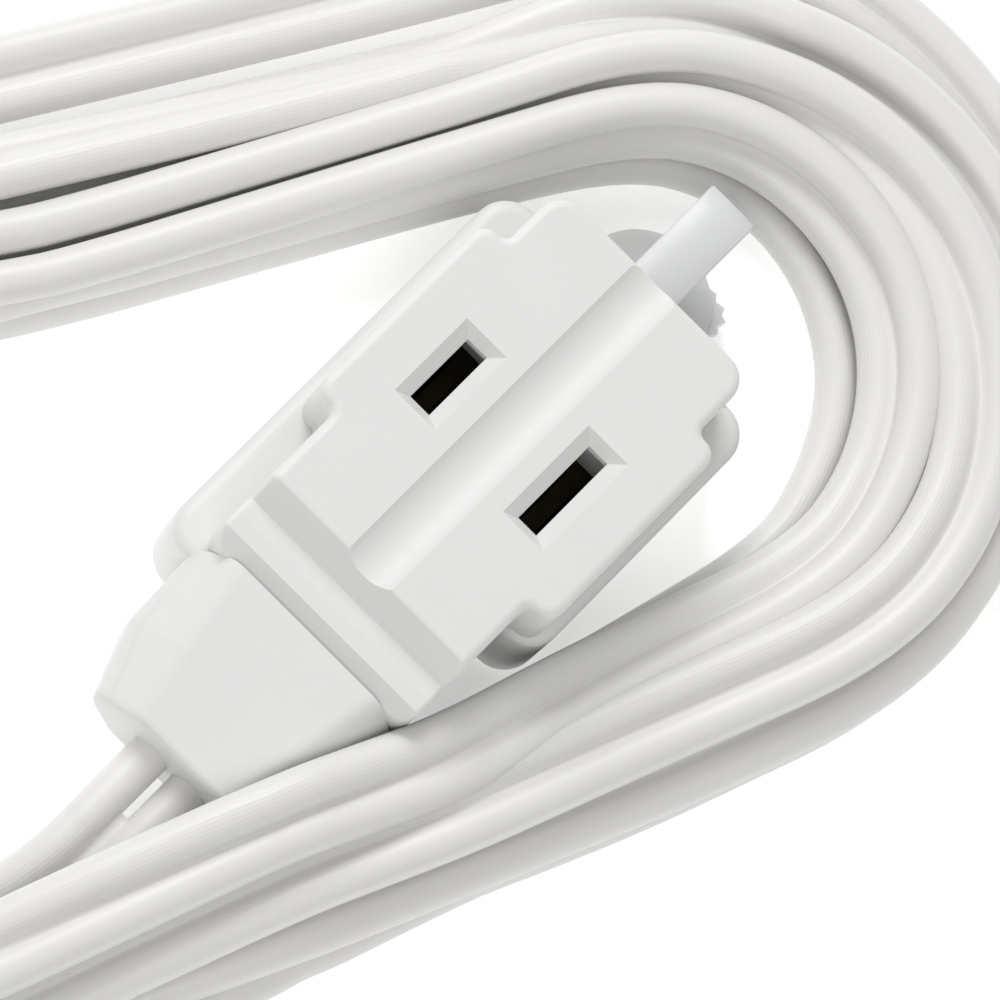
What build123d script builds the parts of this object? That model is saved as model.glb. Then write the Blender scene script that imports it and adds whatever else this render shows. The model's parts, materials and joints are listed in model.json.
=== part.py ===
from build123d import *

import math
import os

# Polarised three-outlet extension cord: the outlet tap lies front face up inside the hank of its own cord.
# Millimetres. +Z is up out of the tap's front outlet face, +Y runs along the tap to its free end.
# The origin is on the surface below the middle of the tap with its closure strap.

os.makedirs("parts", exist_ok=True)

# --- tap body -------------------------------------------------------------------------------------
tap_thick = 21.0
parting_z = 12.0  # the plane where the two shells meet
far_y = 21.5  # the free end face
panel_half = 10.7  # the front panel's half width between its wings
wing_half = 13.1  # the front panel's half width beside the outlet
wing_far_y = 15.1
wing_near_y = -4.7
bevel_start_y = -11.9
ledge_far_y = -13.8
neck_start_y = -18.1
neck_waist_y = -25.7  # where the neck begins to narrow
neck_end_y = -32.1
neck_root = (8.0, 11.0, 9.5, 0.8, 17.6)  # half widths at top, middle and bottom, and lowest and highest z
neck_waist = (6.2, 10.7, 9.0, 2.4, 16.2)
neck_end = (4.6, 8.4, 5.8, 4.7, 14.6)
neck_shoulders = (0.30, 0.62)  # the neck's widest band, as shares of its height
neck_side_round = 1.8
neck_end_round = 0.9
bevel_round = 1.6
ledge_top = tap_thick - 2.5
valley_depth = 0.5  # of the soft valley between the bevel and the ledge
valley_round = 0.9
ledge_round = 1.3
ledge_rise = 1.6  # from the valley to the ledge's crest, along Y
ledge_fall = 1.8  # from the ledge's top down to the neck
crest_slope = 0.1
flank_half = 14.2  # the rear half's half width beside its outlets
left_flank_near_y = -19.2
right_flank_near_y = -5.3
channel_width = 4.7  # the shallow groove down the middle of the front face
channel_depth = 0.9
edge_round = 0.8
wing_round = 1.5
notch_round = 0.8
panel_end_round = 2.3
near_corner_round = 1.6
shoulder_side_round = 0.45
flank_round = 3.0
rear_rim_round = 1.2
wall = 2.0
past = 1.0  # how far a cut runs past the face that it opens

# --- outlets --------------------------------------------------------------------------------------
slot_pitch = 12.7  # between the hot and the neutral slot
side_x = slot_pitch / 2
front_outlet_y = 4.0
rear_outlet_ys = (14.3, -5.9)
hot_slot = (2.1, 6.7)
neutral_slot = (2.0, 8.3)
lead_in = (1.2, 0.85)  # how far the bevelled mouth stands out of its slot, across and along
lead_in_depth = 1.1
channel_half = 2.05  # contact chambers
chamber_far_y = 18.9
front_chamber_length = 10.0

# --- contacts -------------------------------------------------------------------------------------
strip_thick = 0.8
strip_half = 2.25
strip_top = parting_z
strip_far_y = 18.9
strip_near_y = -13.3
foot_near_y = -17.8
foot_inner_x = 0.95
leaf_thick = 0.45
blade_gap = 1.5
jaw_length = 6.0
jaw_reach = 4.2
jaw_lip = 1.4  # the length of the flared lips
jaw_flare = 0.45
jaw_bow = 0.35  # how far the leaves stand apart at their root, beyond the pinch
jaw_root = 1.2
conductor_x = 2.1  # the two insulated conductors leave the neck side by side
conductor_z = 9.6
conductor_dia = 3.6
strand_dia = 1.6
barrel_dia = 3.2
barrel_near_y = -22.3
barrel_far_y = -16.5
insulation_end_y = -23.3
crimp_chamber_far_y = strip_near_y - 2.0
barrel_room = 0.25
clamp_y = -26.9
clamp_size = (10.0, 3.4)

# --- closure --------------------------------------------------------------------------------------
plate_z = (0.2, 1.8)
plate_half = 10.2
plate_y = (-11.5, 20.9)
tab_radius = 6.1
tab_centre_y = 25.4
tab_top = 2.4
tab_root = 1.9  # the straight neck between the plate and the round tab
tab_gap = 0.4  # between the tab's thick part and the tap's end
pin_size = (1.2, 5.4)
pin_length = 6.0
recess_gap = 0.25
strap_width = 4.8
strap_thick = 0.8
strap_anchor_y = 14.2
strap_bend_y = 26.9
strap_tip_y = 22.7

# --- cord -----------------------------------------------------------------------------------------
cord_width = 7.2
cord_thick = 3.6
split_end_y = -37.3  # the two conductors run apart to here

# --- hank, in a plane of its own: x from the near bend to the far bend, y across it ----------------
hank_tilt = 26.0
near_centre = (3.4, 20.7)
bend_distance = 90.0
near_inner = 16.0
near_outer = 36.0
far_inner = 23.4
far_outer = 43.4
hank_height = 12.0
hank_round = 3.0
hump_top = 20.4
hump_middle = (38.0, 27.0)  # the strand that crosses over the neck
hump_run = 36.0
hump_width = 10.0
hump_turn = 3.0
tap_clearance = 0.6
ledge_pocket_far_y = 22.0
neck_pocket_top = 17.0
tie_distance = 72.0  # where the wire tie goes round the left side of the hank
tie_width = 4.0
tie_thick = 0.6
tie_slack = 0.9
tie_round = 1.4
tie_gap = 0.1

hank = Plane(
    origin=(near_centre[0], near_centre[1], 0),
    x_dir=(-math.sin(math.radians(hank_tilt)), -math.cos(math.radians(hank_tilt)), 0),
    z_dir=(0, 0, 1),
)

# --- plug, which lies beside the far bend -----------------------------------------------------------
plug_start = (95.0, 48.2)  # where the cord enters its strain relief, in the hank's plane
plug_turn = 3.0  # the plug points along the hank, turned a little away from it
plug_face_half = 11.0
plug_waist_half = 8.5
plug_rear_half = 5.5
plug_face_length = 5.0
plug_body_length = 24.0
plug_thick = 13.0
plug_corner_round = 1.5
plug_rim_round = 1.3
relief_length = 20.0
relief_cord_end = (9.6, 5.6)
relief_body_end = (11.0, 9.0)
core_size = (16.6, 9.6, 9.0)
core_round = 1.2
blade_thick = 1.5
blade_length = 16.0
blade_root = 8.0  # the length held in the core
blade_widths = {"hot": 6.35, "neutral": 7.9}
blade_hole_dia = 3.2
blade_hole_distance = 11.7


def save(part, name):
    """Labels a finished piece and writes its file."""
    part.label = name
    export_step(part, f"parts/{name}.step")


def rim_edges(part, height):
    """The edges that lie at one height."""
    return part.edges().filter_by_position(Axis.Z, height - 0.01, height + 0.01)


# --- the tap's shells -----------------------------------------------------------------------------


def neck_section(top_half, half, bottom_half, low, high):
    """The corners of the neck's eight-sided section, with slanted flanks."""
    band_low, band_high = (low + share * (high - low) for share in neck_shoulders)
    return [
        (-top_half, high),
        (top_half, high),
        (half, band_high),
        (half, band_low),
        (bottom_half, low),
        (-bottom_half, low),
        (-half, band_low),
        (-half, band_high),
    ]


with BuildPart() as neck:
    for section_y, sizes in ((neck_start_y, neck_root), (neck_waist_y, neck_waist), (neck_end_y, neck_end)):
        with BuildSketch(Plane.XZ.offset(-section_y)) as section:
            Polygon(*neck_section(*sizes), align=None)
            fillet(section.vertices(), neck_side_round)
    loft(ruled=True)
    fillet(neck.faces().sort_by(Axis.Y)[0].edges(), neck_end_round)
neck_block = neck.part

half_space = Box(200, 200, 50)
upper_half = Pos(0, 0, parting_z + 25) * half_space
lower_half = Pos(0, 0, parting_z - 25) * half_space


def slot_mouth(x, y, size, face_z, inward):
    """The space of one outlet slot with its bevelled mouth, inward being +1 up or -1 down."""
    across, along = size
    with BuildPart() as mouth:
        with BuildSketch(Plane.XY.offset(face_z)):
            with Locations((x, y)):
                Rectangle(across + 2 * lead_in[0], along + 2 * lead_in[1])
        with BuildSketch(Plane.XY.offset(face_z + inward * lead_in_depth)):
            with Locations((x, y)):
                Rectangle(across, along)
        loft()
        with BuildSketch(Plane.XY.offset(face_z)):
            with Locations((x, y)):
                Rectangle(across, along)
        extrude(amount=inward * (wall + past))
    return mouth.part


def outlet_mouths(y, face_z, inward):
    """Both slots of one polarised outlet, the neutral one wider."""
    return [
        slot_mouth(-side_x, y, hot_slot, face_z, inward),
        slot_mouth(side_x, y, neutral_slot, face_z, inward),
    ]


recess_floor = plate_z[1] + recess_gap
front_mouths = outlet_mouths(front_outlet_y, tap_thick, -1)
rear_mouths = [mouth for y in rear_outlet_ys for mouth in outlet_mouths(y, recess_floor, 1)]
upper_neck = neck_block & upper_half
lower_neck = neck_block & lower_half


def is_shoulder_side(edge):
    """Whether an edge runs down one side of the front shell's shoulder."""
    middle = edge.center()
    slanting = abs(edge.tangent_at(0.5).Z) < 0.999
    at_side = abs(middle.X) > panel_half - near_corner_round + 0.1
    return slanting and at_side and middle.Y < bevel_start_y and middle.Z > neck_waist[4]


with BuildPart() as front_shell:
    # Front panel with a wing each side of the outlet
    with BuildSketch(Plane.XY.offset(parting_z)) as panel:
        with BuildLine():
            Polyline(
                (-panel_half, far_y),
                (panel_half, far_y),
                (panel_half, wing_far_y),
                (wing_half, wing_far_y),
                (wing_half, wing_near_y),
                (panel_half, wing_near_y),
                (panel_half, neck_start_y),
                (-panel_half, neck_start_y),
                (-panel_half, wing_near_y),
                (-wing_half, wing_near_y),
                (-wing_half, wing_far_y),
                (-panel_half, wing_far_y),
                close=True,
            )
        make_face()
        wing_corners = panel.vertices().filter_by(lambda v: abs(v.X) > wing_half - 0.1)
        fillet(wing_corners, wing_round)
        end_corners = panel.vertices().group_by(Axis.Y)[-1]
        fillet(end_corners, panel_end_round)
        notches = panel.vertices().filter_by(
            lambda v: abs(v.X) < wing_half - wing_round and wing_near_y - 0.1 < v.Y < wing_far_y + 0.1
        )
        fillet(notches, notch_round)
        near_corners = panel.vertices().group_by(Axis.Y)[0]
        fillet(near_corners, near_corner_round)
    extrude(amount=tap_thick - parting_z)
    fillet(rim_edges(front_shell, tap_thick), edge_round)
    # Soft shoulder: a bevel, a valley and a rounded ledge across the neck's root
    with BuildSketch(Plane.YZ) as shoulder:
        with BuildLine():
            Polyline(
                (bevel_start_y + bevel_round, tap_thick + past),
                (bevel_start_y + bevel_round, tap_thick),
                (bevel_start_y, tap_thick),
                (ledge_far_y, ledge_top - valley_depth),
                (ledge_far_y - ledge_rise, ledge_top),
                (neck_start_y + ledge_round, ledge_top - crest_slope),
                (neck_start_y, ledge_top - ledge_fall),
                (neck_start_y - past, ledge_top - ledge_fall),
                (neck_start_y - past, tap_thick + past),
                close=True,
            )
        make_face()
        corners = shoulder.vertices()
        bevel_top = [v for v in corners if abs(v.Y - bevel_start_y) < 0.01]
        valley = [v for v in corners if abs(v.Y - ledge_far_y) < 0.01]
        crests = [v for v in corners if neck_start_y + 0.5 < v.Y < ledge_far_y - 0.5]
        fillet(bevel_top, bevel_round)
        fillet(valley, valley_round)
        fillet(crests, ledge_round)
    extrude(amount=wing_half + past, both=True, mode=Mode.SUBTRACT)
    fillet(front_shell.edges().filter_by(is_shoulder_side), shoulder_side_round)
    add(upper_neck)
    # Groove down the middle of the front face
    groove_radius = (channel_width**2 / 4 + channel_depth**2) / (2 * channel_depth)
    with BuildSketch(Plane.XZ.offset(-far_y - past)):
        with Locations((0, tap_thick - channel_depth + groove_radius)):
            Circle(groove_radius)
    extrude(amount=far_y + past - ledge_far_y, mode=Mode.SUBTRACT)
    # Contact chambers behind the slots
    with BuildSketch(Plane.XY.offset(parting_z)):
        with Locations((-side_x, front_outlet_y), (side_x, front_outlet_y)):
            Rectangle(2 * channel_half, front_chamber_length)
    extrude(amount=tap_thick - wall - parting_z, mode=Mode.SUBTRACT)
    add(front_mouths, mode=Mode.SUBTRACT)
    # Seat for the strap's anchored end
    with BuildSketch(Plane.XY.offset(parting_z)):
        with Locations((0, (strap_anchor_y + far_y + past) / 2)):
            Rectangle(strap_width, far_y + past - strap_anchor_y)
    extrude(amount=strap_thick, mode=Mode.SUBTRACT)
save(front_shell.part, "front_shell")

with BuildPart() as rear_shell:
    # Rear half, wider beside its two outlets and longer on the hot side
    with BuildSketch() as rear_outline:
        with BuildLine():
            Polyline(
                (-flank_half, far_y),
                (flank_half, far_y),
                (flank_half, right_flank_near_y),
                (panel_half, right_flank_near_y),
                (panel_half, left_flank_near_y),
                (-flank_half, left_flank_near_y),
                close=True,
            )
        make_face()
        flank_corners = rear_outline.vertices().filter_by(lambda v: abs(v.X) > flank_half - 0.1)
        fillet(flank_corners, flank_round)
    extrude(amount=parting_z)
    fillet(rim_edges(rear_shell, parting_z), rear_rim_round)
    fillet(rim_edges(rear_shell, 0), edge_round)
    add(lower_neck)
    # Seat for the front shell, square up to the parting plane
    with BuildSketch(Plane.XY.offset(parting_z - rear_rim_round)):
        with Locations((0, (far_y + neck_start_y) / 2)):
            Rectangle(2 * panel_half, far_y - neck_start_y)
    extrude(amount=rear_rim_round)
    # Contact chambers
    with BuildSketch(Plane.XY.offset(wall + plate_z[1])):
        for side in (-side_x, side_x):
            with Locations((side, (chamber_far_y + strip_near_y) / 2)):
                Rectangle(2 * channel_half, chamber_far_y - strip_near_y)
    extrude(amount=parting_z, mode=Mode.SUBTRACT)
    # Seats for the bus strips and their feet
    with BuildSketch(Plane.XY.offset(strip_top - strip_thick)):
        for side in (-1, 1):
            with Locations((side * side_x, (strip_far_y + strip_near_y) / 2)):
                Rectangle(2 * strip_half, strip_far_y - strip_near_y)
        foot_outer_x = side_x + strip_half
        with Locations((0, (strip_near_y + foot_near_y) / 2)):
            Rectangle(2 * foot_outer_x, strip_near_y - foot_near_y)
    extrude(amount=strip_thick, mode=Mode.SUBTRACT)
    # Chamber for the crimp barrels, bores for the conductors and the clamp's seat
    with BuildSketch(Plane.XY.offset(conductor_z - barrel_dia / 2 - barrel_room)):
        with Locations((0, (insulation_end_y + crimp_chamber_far_y) / 2)):
            chamber_half = conductor_x + barrel_dia / 2 + barrel_room
            Rectangle(2 * chamber_half, crimp_chamber_far_y - insulation_end_y)
    extrude(amount=parting_z, mode=Mode.SUBTRACT)
    with BuildSketch(Plane.XZ.offset(-insulation_end_y)):
        with Locations((-conductor_x, conductor_z), (conductor_x, conductor_z)):
            Circle(conductor_dia / 2)
    extrude(amount=insulation_end_y - neck_end_y + past, mode=Mode.SUBTRACT)
    with BuildSketch(Plane.XY.offset(conductor_z)):
        with Locations((0, clamp_y)):
            Rectangle(*clamp_size)
    extrude(amount=parting_z, mode=Mode.SUBTRACT)
    # Recess for the closure's plate, with the slots of the two rear outlets in its floor
    with BuildSketch() as recess:
        with Locations((0, (plate_y[0] + far_y + past) / 2)):
            Rectangle(2 * (plate_half + recess_gap), far_y + past - plate_y[0] + 2 * recess_gap)
    extrude(amount=recess_floor, mode=Mode.SUBTRACT)
    add(rear_mouths, mode=Mode.SUBTRACT)
save(rear_shell.part, "rear_shell")


# --- contacts -------------------------------------------------------------------------------------


def bus_strip(side):
    """The flat brass strip that joins one side's jaws, with a foot at the crimp barrel; side is -1 or 1."""
    with BuildPart() as strip:
        with BuildSketch(Plane.XY.offset(strip_top - strip_thick)):
            with Locations((side * side_x, (strip_far_y + strip_near_y) / 2)):
                Rectangle(2 * strip_half, strip_far_y - strip_near_y)
            foot_outer = side_x + strip_half
            with Locations((side * (foot_outer + foot_inner_x) / 2, (strip_near_y + foot_near_y) / 2)):
                Rectangle(foot_outer - foot_inner_x, strip_near_y - foot_near_y)
        extrude(amount=strip_thick)
    return strip.part


def jaw(x, y, base_z, direction):
    """A spring clip of two leaves with flared lips, standing on the strip; direction is +1 up or -1 down."""
    inner = blade_gap / 2 + leaf_thick / 2
    half_line = [
        (inner + jaw_flare, jaw_reach),
        (inner, jaw_reach - jaw_lip),
        (inner + jaw_bow, leaf_thick / 2 + jaw_root),
        (inner + jaw_bow, leaf_thick / 2),
    ]
    points = half_line + [(-across, height) for across, height in reversed(half_line)]
    section = Plane(origin=(x, y + jaw_length / 2, base_z), x_dir=(1, 0, 0), z_dir=(0, -direction, 0))
    with BuildPart() as clip:
        with BuildSketch(section):
            with BuildLine():
                Polyline(*points)
            trace(line_width=leaf_thick)
        extrude(amount=direction * jaw_length)
    return clip.part


def rod(start, diameter, length, bore=0.0):
    """A round rod or tube along its start plane's normal."""
    with BuildPart() as made:
        with BuildSketch(start):
            Circle(diameter / 2)
            if bore:
                Circle(bore / 2, mode=Mode.SUBTRACT)
        extrude(amount=length)
    return made.part


for pole, side in (("hot", -1), ("neutral", 1)):
    save(bus_strip(side), f"{pole}_bus_strip")
    save(jaw(side * side_x, front_outlet_y, strip_top, 1), f"{pole}_front_jaw")
    for place, outlet_y in zip(("far", "near"), rear_outlet_ys):
        save(jaw(side * side_x, outlet_y, strip_top - strip_thick, -1), f"{pole}_rear_jaw_{place}")
    wire_start = Plane(origin=(side * conductor_x, barrel_far_y, conductor_z), z_dir=(0, -1, 0))
    barrel = rod(wire_start, barrel_dia, barrel_far_y - barrel_near_y, strand_dia)
    save(barrel, f"{pole}_crimp_barrel")
    save(rod(wire_start, strand_dia, barrel_far_y - insulation_end_y), f"{pole}_strands")

with BuildPart() as cord_clamp:
    with BuildSketch(Plane.XY.offset(conductor_z)):
        with Locations((0, clamp_y)):
            Rectangle(*clamp_size)
    extrude(amount=parting_z - conductor_z)
    with BuildSketch(Plane.XZ.offset(-clamp_y - clamp_size[1] / 2 - past)):
        with Locations((-conductor_x, conductor_z), (conductor_x, conductor_z)):
            Circle(conductor_dia / 2)
    extrude(amount=clamp_size[1] + 2 * past, mode=Mode.SUBTRACT)
save(cord_clamp.part, "cord_clamp")


# --- closure and its strap ------------------------------------------------------------------------

with BuildPart() as safety_closure:
    with BuildSketch(Plane.XY.offset(plate_z[0])) as plate:
        with Locations((0, (plate_y[0] + plate_y[1]) / 2)):
            RectangleRounded(2 * plate_half, plate_y[1] - plate_y[0], 1.5)
    extrude(amount=plate_z[1] - plate_z[0])
    # Finger tab past the free end
    with BuildSketch(Plane.XY.offset(plate_z[0])):
        with Locations((0, tab_centre_y)):
            Circle(tab_radius)
        with Locations((0, plate_y[1] + tab_root / 2)):
            Rectangle(2 * tab_radius, tab_root)
    extrude(amount=plate_z[1] - plate_z[0])
    with BuildSketch(Plane.XY.offset(plate_z[1])):
        with Locations((0, tab_centre_y)):
            Circle(tab_radius)
        with Locations((0, far_y + tab_gap - tab_radius)):
            Rectangle(2 * tab_radius + past, 2 * tab_radius, mode=Mode.SUBTRACT)
    extrude(amount=tab_top - plate_z[1])
    # Pins that fill the slots of the two rear outlets
    with BuildSketch(Plane.XY.offset(plate_z[1])):
        for outlet_y in rear_outlet_ys:
            with Locations((-side_x, outlet_y), (side_x, outlet_y)):
                Rectangle(*pin_size)
    extrude(amount=pin_length)
save(safety_closure.part, "safety_closure")

bend_radius = (parting_z - tab_top) / 2
with BuildPart() as closure_strap:
    # Out of the free end, round a half turn and back flat onto the tab
    with BuildLine(Plane.YZ) as strap_line:
        top_z = parting_z + strap_thick / 2
        Line((strap_anchor_y, top_z), (strap_bend_y, top_z))
        CenterArc((strap_bend_y, top_z - bend_radius), bend_radius, 90, -180)
        Line((strap_bend_y, top_z - 2 * bend_radius), (strap_tip_y, top_z - 2 * bend_radius))
    with BuildSketch(Plane.XZ.offset(-strap_anchor_y)):
        with Locations((0, top_z)):
            Rectangle(strap_width, strap_thick)
    sweep(path=strap_line.line)
save(closure_strap.part, "closure_strap")


# --- cord -----------------------------------------------------------------------------------------


def tube(points, diameter, name):
    """A plain tube along straight runs with arcs as large as the runs allow; prints its radii."""
    corners = [Vector(*p) for p in points]
    radii = []
    for before, here, after in zip(corners, corners[1:], corners[2:]):
        turn = math.radians((here - before).get_angle(after - here))
        shorter = min((here - before).length, (after - here).length)
        radii.append(0.45 * shorter / math.tan(turn / 2))
    with BuildPart() as made:
        with BuildLine():
            route = FilletPolyline(*corners, radius=radii)
        with BuildSketch(Plane(origin=route @ 0, z_dir=route % 0)):
            Circle(diameter / 2)
        sweep(path=route)
    expected = math.pi * diameter**2 / 4 * route.length
    print(name, "radii", [round(r, 1) for r in radii], "length", round(route.length, 1))
    print(name, "volume over section times length", round(made.part.volume / expected, 4))
    return made.part


for pole, side in (("hot", -1), ("neutral", 1)):
    cut_end = Plane(origin=(side * conductor_x, insulation_end_y, conductor_z), z_dir=(0, -1, 0))
    save(rod(cut_end, conductor_dia, insulation_end_y - split_end_y), f"{pole}_conductor")

# The joined cord leaves the two conductors' ends and sinks towards the hank's inner side
lead_tube_dia = 6.0
lead_route = [
    (0.0, split_end_y, conductor_z),
    (0.0, -41.3, conductor_z),
    (-0.6, -46.3, 8.6),
    (-2.0, -51.3, 7.0),
    (-4.2, -56.1, 5.8),
]
save(tube(lead_route, lead_tube_dia, "cord_lead"), "cord_lead")


def ring_sketch(near_radius, far_radius, height=0.0):
    """The teardrop outline round both bends, in the hank's plane."""
    with BuildSketch(hank.offset(height)) as outline:
        Circle(near_radius)
        with Locations((bend_distance, 0)):
            Circle(far_radius)
        make_hull()
    return outline.sketch


def tap_pocket(top, far_edge, near_edge):
    """A block round the tap's neck and ledge between two places along Y, up to a height."""
    half = panel_half + 0.3 + tap_clearance
    return Pos(0, (far_edge + near_edge) / 2, top / 2) * Box(2 * half, far_edge - near_edge, top)


outer_outline = ring_sketch(near_outer, far_outer)
inner_outline = ring_sketch(near_inner, far_inner)
ledge_pocket = tap_pocket(2 * hank_height, ledge_pocket_far_y, neck_start_y - tap_clearance)
neck_pocket = tap_pocket(neck_pocket_top, neck_start_y, lead_route[1][1])
flank_length = far_y - right_flank_near_y
flank_pocket = Pos(0, (far_y + right_flank_near_y) / 2, hank_height) * Box(
    2 * (flank_half + tap_clearance), flank_length + 2 * tap_clearance, 2 * hank_height
)

with BuildPart() as hank_tie:
    band_inner = near_inner + (far_inner - near_inner) * tie_distance / bend_distance
    band_outer = near_outer + (far_outer - near_outer) * tie_distance / bend_distance
    band_middle = (band_inner + band_outer) / 2
    tie_height = hank_height + 2 * tie_thick
    section = Plane(
        origin=hank.from_local_coords((tie_distance - tie_width / 2, -band_middle, tie_height / 2)),
        x_dir=hank.y_dir,
        z_dir=hank.x_dir,
    )
    span = band_outer - band_inner + 2 * tie_slack
    with BuildSketch(section):
        RectangleRounded(span + 2 * tie_thick, tie_height, tie_round)
        RectangleRounded(span, tie_height - 2 * tie_thick, tie_round - tie_thick, mode=Mode.SUBTRACT)
    extrude(amount=tie_width)
save(hank_tie.part, "hank_tie")

tie_seat = hank.location * Pos(tie_distance, -band_middle, tie_thick / 2) * Box(
    tie_width + 2 * tie_gap, span + 2 * tie_thick + past, tie_thick + 2 * tie_gap
)

with BuildPart() as cord_hank:
    add(outer_outline)
    extrude(amount=hank_height)
    fillet(rim_edges(cord_hank, hank_height), hank_round)
    # The top strand humps over the neck
    with BuildSketch(hank.offset(hank_height / 2)):
        with Locations(Location((*hump_middle, 0), (0, 0, hump_turn))):
            SlotCenterToCenter(hump_run, hump_width)
    extrude(amount=hump_top - hank_height / 2)
    add(inner_outline)
    extrude(amount=2 * hank_height, mode=Mode.SUBTRACT)
    add([ledge_pocket, neck_pocket, flank_pocket, tie_seat], mode=Mode.SUBTRACT)
save(cord_hank.part, "cord_hank")


# --- plug -----------------------------------------------------------------------------------------

plug_heading = hank.x_dir.rotate(Axis.Z, plug_turn)
plug = Plane(
    origin=hank.from_local_coords((*plug_start, plug_thick / 2)),
    x_dir=plug_heading,
    z_dir=(0, 0, 1),
)
face_distance = relief_length + plug_body_length


def along_plug(distance, across=0.0):
    """The plane across the plug at a distance from the cord's end of the strain relief."""
    return Plane(
        origin=plug.from_local_coords((distance, across, 0)),
        x_dir=plug.y_dir,
        z_dir=plug.x_dir,
    )


with BuildPart() as plug_blank:
    # Body, wide at the blade face, with a grip's waist
    with BuildSketch(plug.offset(-plug_thick / 2)):
        with BuildLine():
            rear_right = (relief_length, -plug_rear_half)
            waist_right = (relief_length + 0.45 * plug_body_length, -plug_waist_half)
            face_right = (face_distance - plug_face_length, -plug_face_half)
            Spline(rear_right, waist_right, face_right, tangents=((0.6, -1), (1, -0.15)))
            Line(face_right, (face_distance, -plug_face_half))
            Line((face_distance, -plug_face_half), (face_distance, 0))
            Line((face_distance, 0), (relief_length, 0))
            Line((relief_length, 0), rear_right)
        make_face()
        mirror(about=Plane.XZ)
    extrude(amount=plug_thick)
    upright = plug_blank.edges().filter_by(Axis.Z).filter_by(
        lambda e: abs(plug.to_local_coords(e.center()).X - face_distance) < 0.1
    )
    fillet(upright, plug_corner_round)
    fillet(rim_edges(plug_blank, 0), plug_rim_round)
    fillet(rim_edges(plug_blank, plug_thick), plug_rim_round)
plug_block = plug_blank.part

with BuildPart() as relief_blank:
    # Tapered strain relief
    with BuildSketch(along_plug(0)):
        SlotOverall(*relief_cord_end)
    with BuildSketch(along_plug(relief_length)):
        SlotOverall(*relief_body_end)
    loft()
relief_block = relief_blank.part

core_start = face_distance - core_size[2]
with BuildPart() as core_blank:
    with BuildSketch(along_plug(core_start)):
        RectangleRounded(core_size[0], core_size[1], core_round)
    extrude(amount=core_size[2])
core_block = core_blank.part

blades = {}
for pole, side in (("hot", -1), ("neutral", 1)):
    with BuildPart() as blade:
        with BuildSketch(along_plug(face_distance - blade_root, side * side_x)):
            Rectangle(blade_thick, blade_widths[pole])
        extrude(amount=blade_root + blade_length)
        tip = blade.faces().sort_by(Axis(plug.origin, plug.x_dir))[-1]
        chamfer(tip.edges(), 0.5)
        hole_centre = plug.from_local_coords((face_distance + blade_hole_distance, side * side_x, 0))
        with BuildSketch(Plane(origin=hole_centre, x_dir=plug.x_dir, z_dir=plug.y_dir)):
            Circle(blade_hole_dia / 2)
        extrude(amount=blade_thick, both=True, mode=Mode.SUBTRACT)
    blades[pole] = blade.part
    save(blade.part, f"plug_{pole}_blade")

# Behind each blade, a crimp barrel on the strands of one conductor
barrel_length = 5.0
strand_length = 7.0
conductor_start = core_start - strand_length
wiring = []
for pole, side in (("hot", -1), ("neutral", 1)):
    barrel_plane = along_plug(core_start - barrel_length, side * conductor_x)
    barrel = rod(barrel_plane, barrel_dia, barrel_length, strand_dia)
    bundle = rod(along_plug(conductor_start, side * conductor_x), strand_dia, strand_length)
    save(barrel, f"plug_{pole}_crimp_barrel")
    save(bundle, f"plug_{pole}_strands")
    wiring += [barrel, bundle]

with BuildPart() as plug_core:
    add(core_block)
    add([blades["hot"], blades["neutral"]], mode=Mode.SUBTRACT)
save(plug_core.part, "plug_core")

# The cord's last stretch runs through the strain relief to its cut end inside the body
cord_end_reach = 2.0
with BuildPart() as cord_end:
    with BuildSketch(along_plug(-cord_end_reach)):
        SlotOverall(cord_width, cord_thick)
    extrude(amount=conductor_start + cord_end_reach)
save(cord_end.part, "cord_end")

with BuildPart() as plug_body:
    add(plug_block)
    add([core_block, cord_end.part, *wiring], mode=Mode.SUBTRACT)
save(plug_body.part, "plug_body")

with BuildPart() as plug_strain_relief:
    add(relief_block)
    add(cord_end.part, mode=Mode.SUBTRACT)
save(plug_strain_relief.part, "plug_strain_relief")

# The cord leaves the hank's outer side and rises to the plug
tail_tube_dia = 6.0
tail_route = [
    (46.0, 36.4, 3.6),
    (54.4, 37.2, 3.4),
    (62.8, 39.2, 3.4),
    (71.0, 42.5, 4.2),
    (79.0, 46.0, 5.7),
]
tail_corners = [tuple(hank.from_local_coords(point)) for point in tail_route]
tail_corners += [tuple(plug.from_local_coords((-distance, 0, 0))) for distance in (8.0, cord_end_reach)]
save(tube(tail_corners, tail_tube_dia, "cord_tail"), "cord_tail")
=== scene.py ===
import json
import math

import bmesh
import bpy
from mathutils import Matrix, Vector


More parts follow.
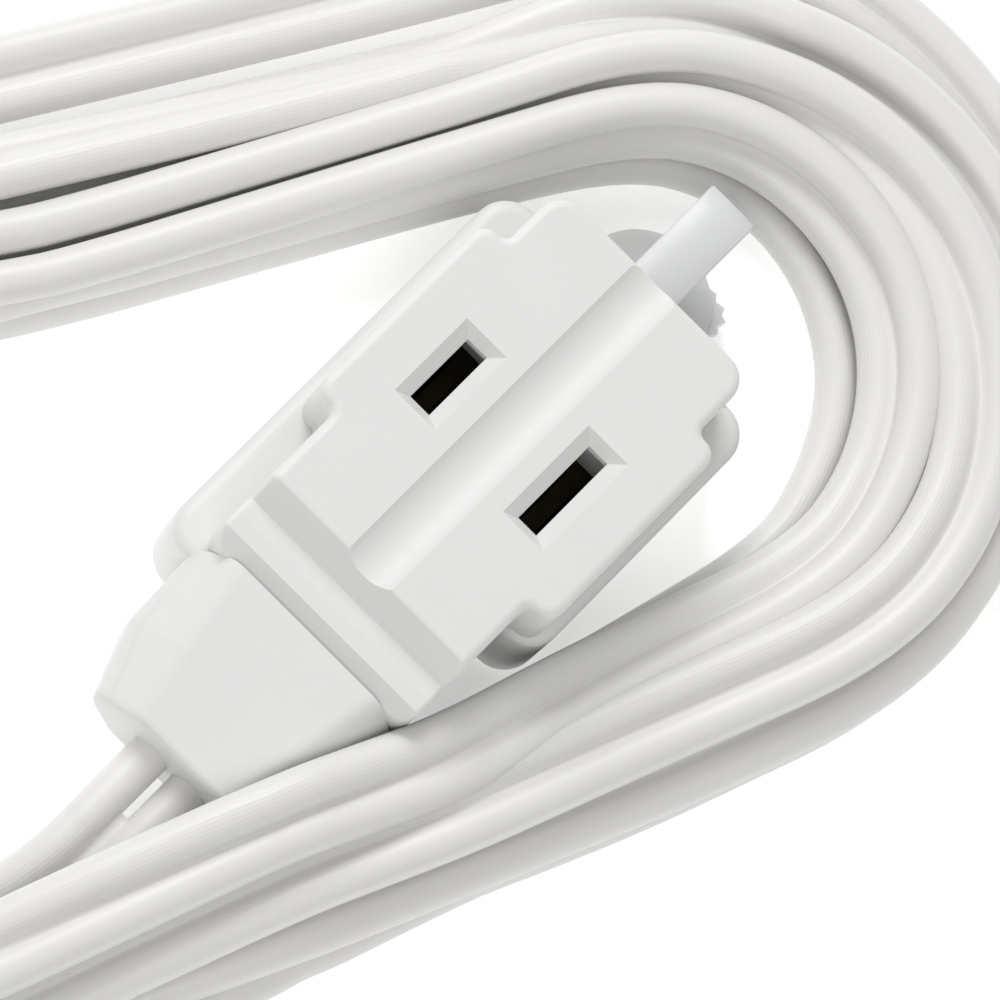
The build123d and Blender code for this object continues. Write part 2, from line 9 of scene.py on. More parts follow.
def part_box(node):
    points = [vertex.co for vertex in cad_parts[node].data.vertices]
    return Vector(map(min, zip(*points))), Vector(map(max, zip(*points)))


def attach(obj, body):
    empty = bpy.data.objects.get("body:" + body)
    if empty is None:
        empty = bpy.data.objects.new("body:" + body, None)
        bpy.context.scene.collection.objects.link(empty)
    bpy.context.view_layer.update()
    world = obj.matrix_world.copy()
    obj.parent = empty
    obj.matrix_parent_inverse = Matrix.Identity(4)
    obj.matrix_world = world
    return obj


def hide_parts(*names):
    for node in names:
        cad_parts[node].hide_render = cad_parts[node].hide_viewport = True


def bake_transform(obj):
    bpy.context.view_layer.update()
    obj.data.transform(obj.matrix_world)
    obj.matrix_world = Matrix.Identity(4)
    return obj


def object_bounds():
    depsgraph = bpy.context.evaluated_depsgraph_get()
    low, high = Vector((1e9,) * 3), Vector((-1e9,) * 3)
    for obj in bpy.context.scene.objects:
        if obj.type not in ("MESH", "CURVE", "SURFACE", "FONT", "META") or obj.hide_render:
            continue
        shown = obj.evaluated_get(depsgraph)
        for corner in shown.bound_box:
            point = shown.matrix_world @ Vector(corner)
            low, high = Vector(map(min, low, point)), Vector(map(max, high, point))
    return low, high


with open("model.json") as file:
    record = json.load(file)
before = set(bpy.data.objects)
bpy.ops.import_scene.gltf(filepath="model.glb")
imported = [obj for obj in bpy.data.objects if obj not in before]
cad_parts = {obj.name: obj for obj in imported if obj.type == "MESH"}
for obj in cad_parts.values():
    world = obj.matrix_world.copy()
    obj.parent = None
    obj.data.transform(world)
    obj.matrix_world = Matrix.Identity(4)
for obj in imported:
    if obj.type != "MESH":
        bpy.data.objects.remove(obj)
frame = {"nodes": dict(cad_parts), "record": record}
cad_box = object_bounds()

MM = 0.001


def mm(*point):
    """A place in the row frame, given in millimetres."""
    return Vector(point) * MM


# --- The hank's own axes: distance along it from the near bend, and across it -----------------------

NEAR_CENTRE = (3.4, 20.7)
HANK_TILT = math.radians(26)
BEND_DISTANCE = 90.0
NEAR_INNER = 16.0
FAR_INNER = 23.4
ALONG = Vector((-math.sin(HANK_TILT), -math.cos(HANK_TILT), 0))
ACROSS = Vector((math.cos(HANK_TILT), -math.sin(HANK_TILT), 0))
PLUG_START = (95.0, 48.2)
PLUG_TURN = math.radians(3)
PLUG_HEADING = Matrix.Rotation(PLUG_TURN, 3, "Z") @ ALONG
PLUG_HEIGHT = 6.5


def on_hank(along, across, height):
    """The place in millimetres of a point given in the hank's axes."""
    flat = Vector((*NEAR_CENTRE, 0)) + along * ALONG + across * ACROSS
    return Vector((flat.x, flat.y, height))


def on_plug(distance):
    """The place in millimetres of a point on the plug's axis."""
    return on_hank(*PLUG_START, PLUG_HEIGHT) + distance * PLUG_HEADING


# --- Camera ------------------------------------------------------------------------------------------

CAMERA_ELEVATION = math.radians(73.5)
CAMERA_AZIMUTH = math.radians(-0.4)
CAMERA_ROLL = math.radians(45.15)
CAMERA_DISTANCE = 0.58
SENSOR_WIDTH = 36
LENS = 265.6
OUTLET = mm(0, 4.0, 21.0)  # the middle of the front outlet

# How far the middle of the picture lies to the left of the outlet and below it, in millimetres
AIM_LEFT = 0.67
AIM_BELOW = 5.42


def make_camera():
    """Looks down at the tap from the neck's side, turned so that the tap lies up to the right."""
    back = Vector(
        (
            math.sin(CAMERA_AZIMUTH) * math.cos(CAMERA_ELEVATION),
            -math.cos(CAMERA_AZIMUTH) * math.cos(CAMERA_ELEVATION),
            math.sin(CAMERA_ELEVATION),
        )
    )
    tap_way = (Vector((0, 1, 0)) - back.y * back).normalized()
    side_way = tap_way.cross(back)
    right = math.cos(CAMERA_ROLL) * tap_way + math.sin(CAMERA_ROLL) * side_way
    up = math.sin(CAMERA_ROLL) * tap_way - math.cos(CAMERA_ROLL) * side_way
    place = OUTLET - AIM_LEFT * MM * right - AIM_BELOW * MM * up + CAMERA_DISTANCE * back
    turn = Matrix((right, up, back)).transposed().to_4x4()
    data = bpy.data.cameras.new("camera")
    data.sensor_width = SENSOR_WIDTH
    data.lens = LENS
    data.clip_start = 0.05
    data.clip_end = 20
    data.dof.use_dof = False
    camera = bpy.data.objects.new("camera", data)
    camera.matrix_world = Matrix.Translation(place) @ turn
    bpy.context.collection.objects.link(camera)
    bpy.context.scene.camera = camera


# --- The cord's route --------------------------------------------------------------------------------

LOBE = 3.6
CONDUCTOR_X = 2.1  # half the distance between the two conductors where they leave the tap
SPLIT_LENGTH = 10.0  # over which the two lobes close up to their final spacing
MERGE_LENGTH = 4.5  # over which each conductor merges into its lobe
MERGE_THINNING = 0.05  # how much thinner each is than the other where it lies inside
WEB_HALF = 0.75  # half the height of the web between the lobes
LOBE_POINTS = 18
ROUND_POINTS = 28
INSULATION_SHARES = (0, 0.3, 0.6, 0.85)  # of a conductor's straight length, where its sections stand
CORD_STEPS = 10
FLOOR_CLEARANCE = 0.1

# The uncoiled stretches: the lead in the row frame, the tail in the hank's axes. The points are the CAD
# model's, which has one more at the tail's start, inside the hank.
LEAD_ROUTE = [
    (0.0, -37.3, 9.6),
    (0.0, -41.3, 9.6),
    (-0.6, -46.3, 8.6),
    (-2.0, -51.3, 7.0),
    (-4.2, -56.1, 5.8),
]
TAIL_ROUTE = [
    (54.4, 37.2, 3.4),
    (62.8, 39.2, 3.4),
    (71.0, 42.5, 4.2),
    (79.0, 46.0, 5.7),
]
TAIL_ROLLS = [50, 30, 15, 5]
PLUG_REACH = [-8, -2, 14]  # the last control points' places along the plug's axis

# Stations round one turn of the coil: right side far out, far bend, left side (far out, tie, middle and
# near), near bend (left shoulder, crown and right shoulder), right side (near, by the ledge, over the neck).
# For each turn: how far it lies outside the hank's inner outline, how high, and how it rolls on its side.
TURN_OUT = [
    (5.0, 4.0, 4.0, 1.6, 3.4, 3.7, 3.3, 3.2, 6.0, 8.4, 10.2),
    (9.0, 4.0, 4.0, 0.8, 3.0, 4.7, 5.6, 5.6, 6.4, 8.2, 7.6),
    (8.0, 8.0, 8.0, 5.1, 7.2, 9.5, 11.4, 12.4, 11.8, 12.2, 11.6),
    (12.0, 11.6, 11.6, 11.0, 10.9, 14.2, 16.8, 15.2, 15.4, 15.0, 14.6),
    (12.0, 11.6, 11.6, 10.8, 11.3, 11.6, 10.6, 9.2, 10.7, 12.4, 13.8),
    (17.4, 17.4, 17.4, 19.0, 19.6, 21.6, 20.8, 15.2, 15.4, 16.0, 17.4),
]
TURN_HEIGHT = [
    (5.4, 1.8, 2.5, 1.8, 1.8, 1.8, 1.8, 1.8, 1.8, 2.6, 3.6),
    (1.8, 5.4, 6.1, 7.2, 7.2, 6.8, 6.4, 6.6, 8.0, 13.0, 17.2),
    (14.0, 9.0, 9.7, 6.6, 7.2, 7.4, 8.2, 8.9, 9.6, 12.0, 13.0),
    (9.0, 5.4, 6.1, 7.2, 6.6, 6.2, 5.4, 5.4, 6.0, 8.4, 9.4),
    (1.8, 1.8, 2.5, 1.8, 1.8, 1.8, 2.6, 3.6, 3.6, 3.6, 3.6),
    (3.6, 3.6, 4.3, 2.6, 2.4, 2.4, 2.4, 1.8, 1.8, 2.8, 3.6),
]
TURN_ROLL = [
    (0, 0, 0, 0, 0, 0, 0, 0, 0, 40, 90),
    (0, 0, 0, 85, 68, 52, 38, 36, 20, -10, -25),
    (0, 0, 0, 90, 80, 55, 25, 0, -5, 0, 5),
    (0, 0, 0, -50, -65, 40, 10, -5, -5, -8, -8),
    (0, 0, 0, 0, 0, 0, 45, 90, 90, 90, 90),
    (90, 90, 90, 10, 0, 0, 0, 0, 0, 60, 85),
]
TURNS = len(TURN_OUT)
LAST_STATION = len(TURN_OUT[0]) - 1

# Control points of a turn: their stations, with the distances along the hank or the angles round its bends
FAR_ANGLES = (64, 32, 0, -32, -64)
FAR_STEP = 32  # the step from one of them to the next
FAR_PER_STATION = 120
LEFT_PLACES = [(1.8, 89), (2.0, 82), (2.4, 70), (2.8, 58), (3.0, 45), (3.5, 26), (4.0, 8)]
NEAR_ANGLES = (-45, -22, 0, 22, 45)
NEAR_STEP = 23  # the largest step from one of them to the next
NEAR_PER_STATION = 45
NEAR_ENTRY = (4.6, -70)
NEAR_EXIT = (7.4, 70)
RIGHT_FAR_PLACES = [(0.0, 70), (0.35, 82)]
RIGHT_NEAR_PLACES = [(8.0, 8), (8.5, 18), (9.0, 28), (9.5, 36), (10.0, 43), (10.45, 57)]


def on_side(side, places):
    """The places on one side of the hank, with the side's name."""
    return [(station, side, where) for station, where in places]


def turn_places():
    """The control points of one turn: station, part of the hank, and distance along it or angle."""
    far_bend = [(1.0 - angle / FAR_PER_STATION, angle) for angle in FAR_ANGLES]
    near_bend = [(6.0 + angle / NEAR_PER_STATION, angle) for angle in NEAR_ANGLES]
    return (
        on_side("right", RIGHT_FAR_PLACES)
        + on_side("far", far_bend)
        + on_side("left", LEFT_PLACES)
        + on_side("near", [NEAR_ENTRY, *near_bend, NEAR_EXIT])
        + on_side("right", RIGHT_NEAR_PLACES)
    )


def between_stations(table, turn, station):
    """A turn's value at a station or between two, the last running on into the next turn's first."""
    index = int(station)
    here = table[turn][index]
    if index < LAST_STATION:
        after = table[turn][index + 1]
    else:
        after = table[min(turn + 1, TURNS - 1)][0]
    return here + (after - here) * (station - index)


def arc_swell(step):
    """How much further out the control points of an arc lie than the quadratic spline that they make."""
    return 1 / (0.75 + 0.25 * math.cos(math.radians(step)))


def lowest_height(roll):
    """The height of the cord's middle where its lower lobe just clears the floor, at this roll."""
    return LOBE / 2 * (1 + abs(math.sin(math.radians(roll)))) + FLOOR_CLEARANCE


def turn_point(side, where, out, height):
    """The place in millimetres of one of the coil's control points."""
    if side in ("right", "left"):
        across = NEAR_INNER + (FAR_INNER - NEAR_INNER) * where / BEND_DISTANCE + out
        return on_hank(where, across if side == "right" else -across, height)
    angle = math.radians(where)
    if side == "far":
        radius = (FAR_INNER + out) * arc_swell(FAR_STEP)
        return on_hank(BEND_DISTANCE + radius * math.cos(angle), radius * math.sin(angle), height)
    radius = (NEAR_INNER + out) * arc_swell(NEAR_STEP)
    return on_hank(-radius * math.cos(angle), radius * math.sin(angle), height)


def coil_points():
    """The control points of all the turns and the roll at each."""
    points = []
    rolls = []
    for turn in range(TURNS):
        for station, side, where in turn_places():
            joins_lead = turn == 0 and station == 0
            after_last = turn == TURNS - 1 and station > LAST_STATION
            if joins_lead or after_last:
                continue
            out = between_stations(TURN_OUT, turn, station)
            roll = between_stations(TURN_ROLL, turn, station)
            height = max(between_stations(TURN_HEIGHT, turn, station), lowest_height(roll))
            points.append(turn_point(side, where, out, height))
            rolls.append(roll)
    return points, rolls


def cord_controls():
    """The whole cord's control points in millimetres, from the conductors to inside the plug."""
    coil, coil_rolls = coil_points()
    lead = [Vector(point) for point in LEAD_ROUTE]
    tail = [on_hank(*point) for point in TAIL_ROUTE]
    end = [on_plug(reach) for reach in PLUG_REACH]
    rolls = [0] * len(lead) + coil_rolls + TAIL_ROLLS + [0] * len(end)
    return lead + coil + tail + end, rolls


def spline_line(points, steps):
    """The points along the NURBS spline of these control points, which are in millimetres."""
    curve = bpy.data.curves.new("cord_line", "CURVE")
    curve.dimensions = "3D"
    curve.resolution_u = steps
    spline = curve.splines.new("NURBS")
    spline.points.add(len(points) - 1)
    for target, point in zip(spline.points, points):
        target.co = (*(point * MM), 1)
    spline.order_u = 3
    spline.use_endpoint_u = True
    holder = bpy.data.objects.new("cord_line", curve)
    bpy.context.collection.objects.link(holder)
    bpy.context.view_layer.update()
    read = bpy.data.meshes.new_from_object(holder)
    line = [vertex.co.copy() for vertex in read.vertices]
    bpy.data.meshes.remove(read)
    bpy.data.objects.remove(holder)
    return line


def along_list(values, count):
    """The values spread evenly over count samples, in step with a spline through as many controls."""
    spread = []
    for sample in range(count):
        place = sample / (count - 1) * (len(values) - 2) + 0.5
        index = min(int(place), len(values) - 2)
        share = min(place - index, 1.0)
        spread.append(values[index] + (values[index + 1] - values[index]) * share)
    return spread


def lobe_centre(travelled):
    """How far each lobe's middle lies from the cord's middle, this far along the cord."""
    joined = min(travelled / (SPLIT_LENGTH * MM), 1.0)
    return CONDUCTOR_X + (LOBE / 2 - CONDUCTOR_X) * joined


def figure_eight(travelled):
    """The flat cord's section: two round lobes and the web between them, in millimetres.

    The lobes start as far apart as the two conductors, and a little thinner, so that they begin inside them.
    """
    emerged = min(travelled / (MERGE_LENGTH * MM), 1.0)
    radius = LOBE / 2 - MERGE_THINNING * (1 - emerged)
    opening = math.asin(WEB_HALF / radius)
    centre = lobe_centre(travelled)
    section = []
    for side in (1, -1):
        start = -(math.pi - opening) if side == 1 else opening
        for index in range(LOBE_POINTS):
            angle = start + index / (LOBE_POINTS - 1) * 2 * (math.pi - opening)
            section.append((side * centre + radius * math.cos(angle), radius * math.sin(angle)))
    return section


def place_mesh(name, build):
    """An object in the scene with the mesh that was built."""
    mesh = bpy.data.meshes.new(name)
    build.to_mesh(mesh)
    build.free()
    made = bpy.data.objects.new(name, mesh)
    bpy.context.collection.objects.link(made)
    return made


def section_rings(build, line, rolls, section_at, axis):
    """The section's vertices at each point of the line, and the distance travelled to each."""
    rings = []
    lengths = []
    travelled = 0.0
    for index, place in enumerate(line):
        before = line[max(index - 1, 0)]
        after = line[min(index + 1, len(line) - 1)]
        travelled += (place - before).length
        heading = (after - before).normalized()
        level = axis or Vector((0, 0, 1)).cross(heading).normalized()
        upright = heading.cross(level)
        roll = math.radians(rolls[index])
        side = math.cos(roll) * level + math.sin(roll) * upright
        top = heading.cross(side)
        section = section_at(travelled)
        rings.append([build.verts.new(place + (x * side + y * top) * MM) for x, y in section])
        lengths.append(travelled)
    return rings, lengths


def join_rings(build, rings, lengths):
    """Smooth quads between the rings, mapped by the share of the way round and the distance along."""
    uv = build.loops.layers.uv.new("around_along")
    count = len(rings[0])
    for index in range(len(rings) - 1):
        for spoke in range(count):
            following = (spoke + 1) % count
            quad = (
                rings[index][spoke],
                rings[index][following],
                rings[index + 1][following],
                rings[index + 1][spoke],
            )
            face = build.faces.new(quad)
            face.smooth = True
            corners = ((spoke, index), (spoke + 1, index), (spoke + 1, index + 1), (spoke, index + 1))
            for loop, (turned, row) in zip(face.loops, corners):
                loop[uv].uv = (turned / count, lengths[row])


def sweep_section(name, line, rolls, section_at, axis=None):
    """A capped mesh that follows the line, its section rolled from level or from a fixed axis."""
    build = bmesh.new()
    rings, lengths = section_rings(build, line, rolls, section_at, axis)
    join_rings(build, rings, lengths)
    build.faces.new(list(reversed(rings[0])))
    build.faces.new(rings[-1])
    return place_mesh(name, build)


def round_section(radius):
    """A circle's points in millimetres."""
    turns = [index / ROUND_POINTS * 2 * math.pi for index in range(ROUND_POINTS)]
    return [(radius * math.cos(turn), radius * math.sin(turn)) for turn in turns]


def make_conductors(route):
    """The two conductors' insulation, from inside the neck to where it merges into the cord's lobes."""
    for pole, side in (("hot", -1), ("neutral", 1)):
        low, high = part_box(f"{pole}_conductor")
        height = (low.z + high.z) / 2
        whole = high.y - low.y
        across = side * CONDUCTOR_X * MM
        line = [Vector((across, high.y - share * whole, height)) for share in INSULATION_SHARES]
        travelled = 0.0
        for before, place in zip(route[:1] + route, route):
            travelled += (place - before).length
            if travelled > MERGE_LENGTH * MM:
                break
            line.append(place + Vector((side * lobe_centre(travelled) * MM, 0, 0)))

        def section_at(reached, whole=whole):
            share = min(max(reached - whole, 0) / (MERGE_LENGTH * MM), 1.0)
            return round_section(LOBE / 2 - MERGE_THINNING * share)

        insulation = sweep_section(f"{pole}_insulation", line, [0] * len(line), section_at)
        insulation.data.materials.append(materials["cord_vinyl"])
        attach(insulation, "cord_set")
        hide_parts(f"{pole}_conductor")


def make_cord(line, rolls):
    """The whole flat cord as one piece, from the two conductors through the hank into the plug."""
    cord = sweep_section("flat_cord", line, rolls, figure_eight)
    cord.data.materials.append(materials["cord_vinyl"])
    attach(cord, "cord_set")
    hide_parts("cord_lead", "cord_hank", "cord_tail", "cord_end")


# --- Closure strap and tab ---------------------------------------------------------------------------

STRAP_WIDTH = 4.8
STRAP_THICK = 0.7
STRAP_EDGE = 0.18
STRAP_STEPS = 12

# From its anchor in the tap out to a tight fold and back down onto the tab: distance along Y and height
STRAP_PROFILE = [
    (14.3, 12.4),
    (20.0, 12.4),
    (25.0, 12.5),
    (29.5, 12.7),
    (32.6, 12.5),
    (33.9, 11.3),
    (33.0, 9.6),
    (30.2, 6.6),
    (27.2, 4.0),
    (25.0, 3.0),
    (22.9, 2.85),
]
TAB_CENTRE_Y = 25.4
TAB_RADIUS = 6.1
FLASH_LOW = 0.6
FLASH_THICK = 1.3
FLASH_OVERLAP = 0.5
FLASH_ROOT_ANGLES = (60, 42, 24, 6)

# The torn flash at the tab's edge: angle from +X in degrees and distance out from the tab's centre
FLASH_EDGE = [
    (6, 6.0),
    (14, 6.5),
    (20, 6.35),
    (25, 7.1),
    (30, 6.9),
    (34, 7.55),
    (38, 7.1),
    (43, 7.35),
    (47, 6.6),
    (53, 6.75),
    (60, 6.0),
]


def slab(name, outline, thickness):
    """A closed mesh between a level outline in millimetres and its copy above."""
    build = bmesh.new()
    rise = Vector((0, 0, thickness))
    lower = [build.verts.new(point * MM) for point in outline]
    upper = [build.verts.new((point + rise) * MM) for point in outline]
    for index in range(len(outline)):
        after = (index + 1) % len(outline)
        build.faces.new((lower[index], lower[after], upper[after], upper[index]))
    build.faces.new(list(reversed(lower)))
    build.faces.new(upper)
    bmesh.ops.recalc_face_normals(build, faces=build.faces)
    return place_mesh(name, build)


def strap_section(travelled):
    """The strap's section in millimetres, flat with bevelled edges, whatever the distance travelled."""
    half = STRAP_WIDTH / 2
    thin = STRAP_THICK / 2
    edge = STRAP_EDGE
    return [
        (half, thin - edge),
        (half - edge, thin),
        (0.0, thin),
        (edge - half, thin),
        (-half, thin - edge),
        (-half, edge - thin),
        (edge - half, -thin),
        (0.0, -thin),
        (half - edge, -thin),
        (half, edge - thin),
    ]


def make_strap():
    """The strap that holds the closure, swept along its profile out to a fold and back down onto the tab."""
    controls = [Vector((0, y, z)) for y, z in STRAP_PROFILE]
    line = spline_line(controls, STRAP_STEPS)
    strap = sweep_section("closure_band", line, [0] * len(line), strap_section, Vector((1, 0, 0)))
    strap.data.materials.append(materials["natural_plastic"])
    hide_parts("closure_strap")
    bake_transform(strap)


def round_tab(angle, reach):
    """The place in millimetres at this angle in degrees and distance from the tab's centre."""
    turn = math.radians(angle)
    return Vector((reach * math.cos(turn), TAB_CENTRE_Y + reach * math.sin(turn), FLASH_LOW))


def make_flash():
    """The torn bit of flash that is left at the tab's edge."""
    torn = [round_tab(angle, reach) for angle, reach in FLASH_EDGE]
    root = [round_tab(angle, TAB_RADIUS - FLASH_OVERLAP) for angle in FLASH_ROOT_ANGLES]
    flash = slab("tab_flash", torn + root, FLASH_THICK)
    flash.data.materials.append(materials["natural_plastic"])
    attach(flash, "closure")


# --- Materials ---------------------------------------------------------------------------------------

RIBS_AROUND = 60
RIBS_START = 0.5  # the share of the way round from which one lobe's skin is ribbed
LIGHT_SPREAD = (1.0, 0.95, 0.88)  # how far red, green and blue light spread inside a plastic


class Shader:
    """A new material, with short ways to add nodes to it and join them."""

    def __init__(self, name):
        self.material = bpy.data.materials.new(name)
        self.material.use_nodes = True
        self.tree = self.material.node_tree
        self.surface = self.tree.nodes["Principled BSDF"]
        self.place = self.add("ShaderNodeTexCoord").outputs["Object"]

    def add(self, kind, **settings):
        node = self.tree.nodes.new(kind)
        for name, value in settings.items():
            setattr(node, name, value)
        return node

    def join(self, source, target):
        self.tree.links.new(source, target)

    def noise(self, scale, detail=4.0, roughness=0.55):
        node = self.add("ShaderNodeTexNoise")
        node.inputs["Scale"].default_value = scale
        node.inputs["Detail"].default_value = detail
        node.inputs["Roughness"].default_value = roughness
        self.join(self.place, node.inputs["Vector"])
        return node.outputs["Fac"]

    def between(self, share, low, high):
        node = self.add("ShaderNodeMapRange")
        node.inputs["To Min"].default_value = low
        node.inputs["To Max"].default_value = high
        self.join(share, node.inputs["Value"])
        return node.outputs["Result"]

    def colours(self, share, first, second):
        node = self.add("ShaderNodeMix", data_type="RGBA")
        node.inputs["A"].default_value = (*first, 1)
        node.inputs["B"].default_value = (*second, 1)
        self.join(share, node.inputs["Factor"])
        return node.outputs["Result"]

    def maths(self, operation, first, second=None):
        node = self.add("ShaderNodeMath", operation=operation)
        self.join(first, node.inputs[0])
        if isinstance(second, (int, float)):
            node.inputs[1].default_value = second
        elif second:
            self.join(second, node.inputs[1])
        return node.outputs["Value"]

    def bump(self, height, distance, strength=1.0, under=None):
        node = self.add("ShaderNodeBump")
        node.inputs["Distance"].default_value = distance
        node.inputs["Strength"].default_value = strength
        self.join(height, node.inputs["Height"])
        if under:
            self.join(under, node.inputs["Normal"])
        return node.outputs["Normal"]

    def colour(self, source):
        self.join(source, self.surface.inputs["Base Color"])

    def rough(self, source):
        self.join(source, self.surface.inputs["Roughness"])

    def normal(self, source):
        self.join(source, self.surface.inputs["Normal"])


def soft_inside(shader, weight, radius_mm):
    """Lets light spread a little inside a plastic, as it does in white vinyl."""
    shader.surface.inputs["Subsurface Weight"].default_value = weight
    shader.surface.inputs["Subsurface Radius"].default_value = LIGHT_SPREAD
    shader.surface.inputs["Subsurface Scale"].default_value = radius_mm * MM


def moulded_plastic():
    """The tap's white plastic: fine satin skin with faint flow marks."""
    shader = Shader("white_plastic")
    flow = shader.noise(scale=90, detail=3)
    shader.colour(shader.colours(flow, (0.755, 0.758, 0.745), (0.790, 0.792, 0.782)))
    grain = shader.noise(scale=5200, detail=2)
    shader.rough(shader.between(shader.noise(scale=700, detail=5), 0.42, 0.54))
    marks = shader.bump(flow, distance=0.00012, strength=0.25)
    shader.normal(shader.bump(grain, distance=0.00003, strength=0.35, under=marks))
    soft_inside(shader, weight=0.10, radius_mm=0.7)
    return shader.material


def cord_vinyl():
    """Soft satin vinyl with fine lengthwise ribs on one lobe of the flat cord."""
    shader = Shader("cord_vinyl")
    around = shader.add("ShaderNodeUVMap", uv_map="around_along").outputs["UV"]
    split = shader.add("ShaderNodeSeparateXYZ")
    shader.join(around, split.inputs["Vector"])
    phase = shader.maths("MULTIPLY", split.outputs["X"], 2 * math.pi * RIBS_AROUND)
    ribbed_side = shader.maths("GREATER_THAN", split.outputs["X"], RIBS_START)
    ribs = shader.maths("MULTIPLY", shader.maths("SINE", phase), ribbed_side)
    wear = shader.between(shader.noise(scale=35, detail=3), 0.2, 1.0)
    worn = shader.maths("MULTIPLY", ribs, wear)
    drift = shader.noise(scale=60, detail=3)
    shader.colour(shader.colours(drift, (0.765, 0.755, 0.735), (0.800, 0.793, 0.778)))
    shader.rough(shader.between(shader.noise(scale=900, detail=4), 0.34, 0.46))
    skin = shader.bump(shader.noise(scale=2600, detail=3), distance=0.00004, strength=0.3)
    shader.normal(shader.bump(worn, distance=0.00002, strength=0.4, under=skin))
    soft_inside(shader, weight=0.12, radius_mm=0.9)
    return shader.material


def plug_vinyl():
    """The moulded plug's vinyl, a little softer in sheen than the tap."""
    shader = Shader("plug_vinyl")
    drift = shader.noise(scale=120, detail=4)
    shader.colour(shader.colours(drift, (0.760, 0.755, 0.740), (0.795, 0.790, 0.778)))
    shader.rough(shader.between(shader.noise(scale=800, detail=4), 0.38, 0.5))
    skin = shader.noise(scale=4200, detail=3)
    shader.normal(shader.bump(skin, distance=0.00004, strength=0.4))
    soft_inside(shader, weight=0.12, radius_mm=0.9)
    return shader.material


def core_plastic():
    """The stiff plastic of the plug's core and the cord clamp, matte and a little greyer."""
    shader = Shader("core_plastic")
    drift = shader.noise(scale=150, detail=3)
    shader.colour(shader.colours(drift, (0.70, 0.70, 0.68), (0.74, 0.74, 0.72)))
    shader.rough(shader.between(shader.noise(scale=600, detail=4), 0.55, 0.7))
    skin = shader.noise(scale=3500, detail=3)
    shader.normal(shader.bump(skin, distance=0.00004, strength=0.5))
    return shader.material


def natural_plastic():
    """Unpigmented plastic, milky and slightly grey, of the closure and its strap."""
    shader = Shader("natural_plastic")
    cloud = shader.noise(scale=180, detail=4)
    shader.colour(shader.colours(cloud, (0.66, 0.67, 0.66), (0.73, 0.745, 0.745)))
    shader.rough(shader.between(shader.noise(scale=900, detail=3), 0.28, 0.42))
    skin = shader.noise(scale=1500, detail=4)
    shader.normal(shader.bump(skin, distance=0.00006, strength=0.35))
    soft_inside(shader, weight=0.45, radius_mm=2.5)
    return shader.material


def tie_plastic():
    """The wire tie's thin glossy coating over its flat band."""
    shader = Shader("tie_plastic")
    drift = shader.noise(scale=200, detail=3)
    shader.colour(shader.colours(drift, (0.78, 0.78, 0.765), (0.83, 0.83, 0.82)))
    shader.rough(shader.between(shader.noise(scale=1200, detail=3), 0.25, 0.38))
    skin = shader.noise(scale=1800, detail=4)
    shader.normal(shader.bump(skin, distance=0.00008, strength=0.4))
    soft_inside(shader, weight=0.1, radius_mm=0.5)
    return shader.material


# The outlet jaws' brass colours are painted shade: nearly black, so the chambers behind the slots look
# unlit.
SHADED_BRASS_COLOURS = ((0.022, 0.017, 0.009), (0.05, 0.037, 0.02))
BLADE_COLOURS = ((0.66, 0.54, 0.30), (0.80, 0.68, 0.42))
COPPER_COLOURS = ((0.56, 0.26, 0.14), (0.74, 0.40, 0.24))


def metal(name, pair, roughness, grain):
    """A stamped or drawn metal with a fine grain and slight tarnish."""
    shader = Shader(name)
    shader.surface.inputs["Metallic"].default_value = 1.0
    tarnish = shader.noise(scale=260, detail=5, roughness=0.65)
    shader.colour(shader.colours(tarnish, *pair))
    shader.rough(shader.between(shader.noise(scale=1100, detail=4), *roughness))
    skin = shader.noise(scale=grain, detail=2)
    shader.normal(shader.bump(skin, distance=0.00003, strength=0.5))
    return shader.material


def make_materials():
    """One material for each slot of the record."""
    return {
        "white_plastic": moulded_plastic(),
        "cord_vinyl": cord_vinyl(),
        "plug_vinyl": plug_vinyl(),
        "core_plastic": core_plastic(),
        "natural_plastic": natural_plastic(),
        "tie_plastic": tie_plastic(),
        # painted shade: the jaws' brass is nearly black to darken the outlet chambers
        "brass": metal("brass", SHADED_BRASS_COLOURS, roughness=(0.35, 0.55), grain=3000),
        "blade_brass": metal("blade_brass", BLADE_COLOURS, roughness=(0.22, 0.38), grain=2600),
        "copper": metal("copper", COPPER_COLOURS, roughness=(0.3, 0.45), grain=4000),
    }


def paint_nodes():
    """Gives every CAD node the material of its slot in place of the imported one."""
    for part in frame["record"]["subparts"]:
        target = frame["nodes"][part["node"]]
        target.data.materials.clear()
        target.data.materials.append(materials[part["material_slot"]])


# --- Stage -------------------------------------------------------------------------------------------

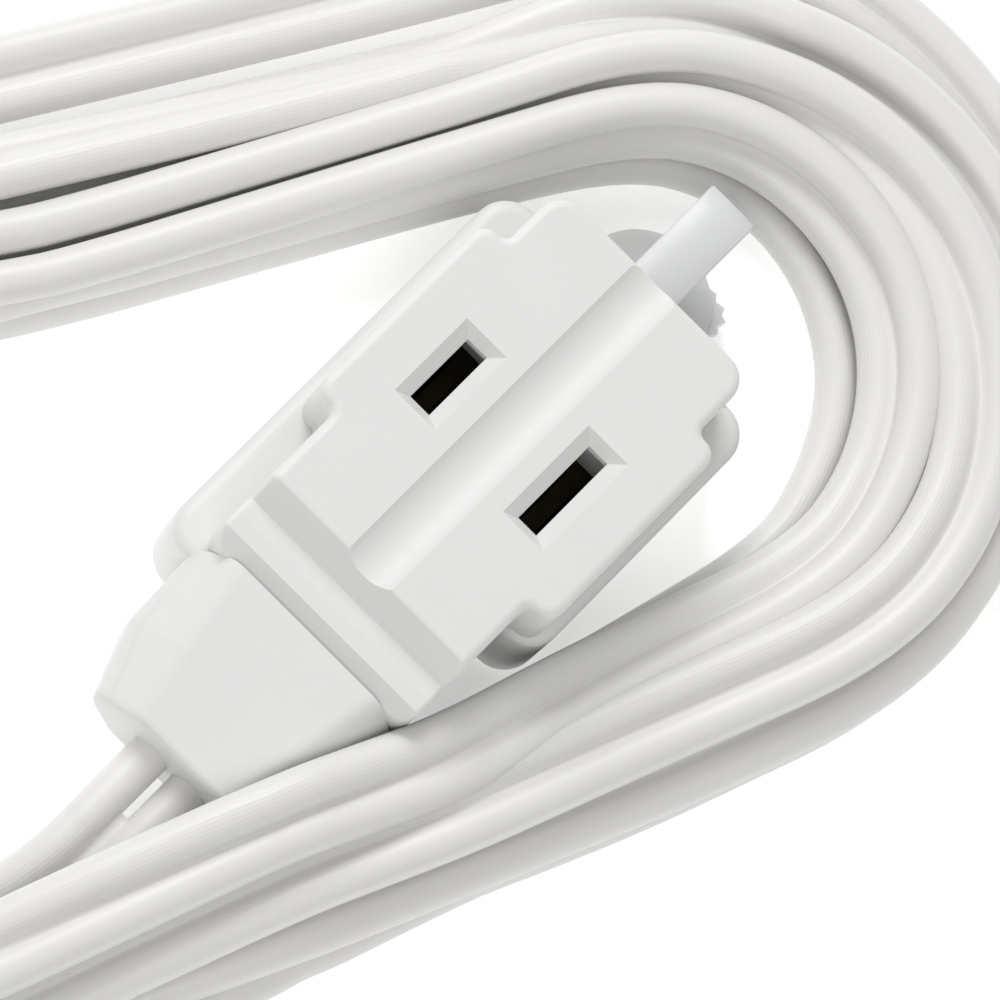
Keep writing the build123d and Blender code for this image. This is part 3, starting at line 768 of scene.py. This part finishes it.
FLOOR_SIZE = 6
FLOOR_DROP = 0.05  # in millimetres, below the lowest point of the object
FLOOR_GLOW = 0.35
SKY_STRENGTH = 0.47
KEY_PLACE = (-0.68, 0.48, 0.8)
TOP_PLACE = (0.15, -0.8, 1.15)


def make_stage():
    """A plain white floor, bright enough to stay white in the object's soft shadow."""
    low = cad_box[0]
    bpy.ops.mesh.primitive_plane_add(size=FLOOR_SIZE, location=(0, 0, low.z - FLOOR_DROP * MM))
    floor = bpy.context.object
    floor.name = "floor"
    paper = Shader("floor_paper")
    paper.colour(paper.colours(paper.noise(scale=3, detail=2), (0.94, 0.94, 0.935), (0.96, 0.96, 0.955)))
    paper.rough(paper.between(paper.noise(scale=40, detail=2), 0.85, 0.95))
    paper.surface.inputs["Emission Color"].default_value = (1, 1, 1, 1)
    paper.surface.inputs["Emission Strength"].default_value = FLOOR_GLOW
    floor.data.materials.append(paper.material)


def area_light(name, place, size, power):
    """A large soft lamp that faces the middle of the tap."""
    data = bpy.data.lights.new(name, "AREA")
    data.shape = "SQUARE"
    data.size = size
    data.energy = power
    lamp = bpy.data.objects.new(name, data)
    lamp.location = place
    lamp.rotation_mode = "QUATERNION"
    lamp.rotation_quaternion = Vector(place).to_track_quat("Z", "Y")
    bpy.context.collection.objects.link(lamp)


def make_lights():
    """Soft light from the upper left and from the neck's side, and an even sky to fill the shadows."""
    area_light("key", KEY_PLACE, size=0.55, power=6.9)
    area_light("top", TOP_PLACE, size=0.9, power=5.0)
    world = bpy.data.worlds.new("world")
    world.use_nodes = True
    sky = world.node_tree.nodes["Background"]
    sky.inputs["Color"].default_value = (1, 1, 1, 1)
    sky.inputs["Strength"].default_value = SKY_STRENGTH
    bpy.context.scene.world = world
    bpy.context.scene.view_settings.view_transform = "Standard"


materials = make_materials()
make_camera()
paint_nodes()
cord_points, cord_rolls = cord_controls()
cord_line = spline_line(cord_points, CORD_STEPS)
make_cord(cord_line, along_list(cord_rolls, len(cord_line)))
make_conductors(cord_line)
make_strap()
make_flash()
make_stage()
make_lights()
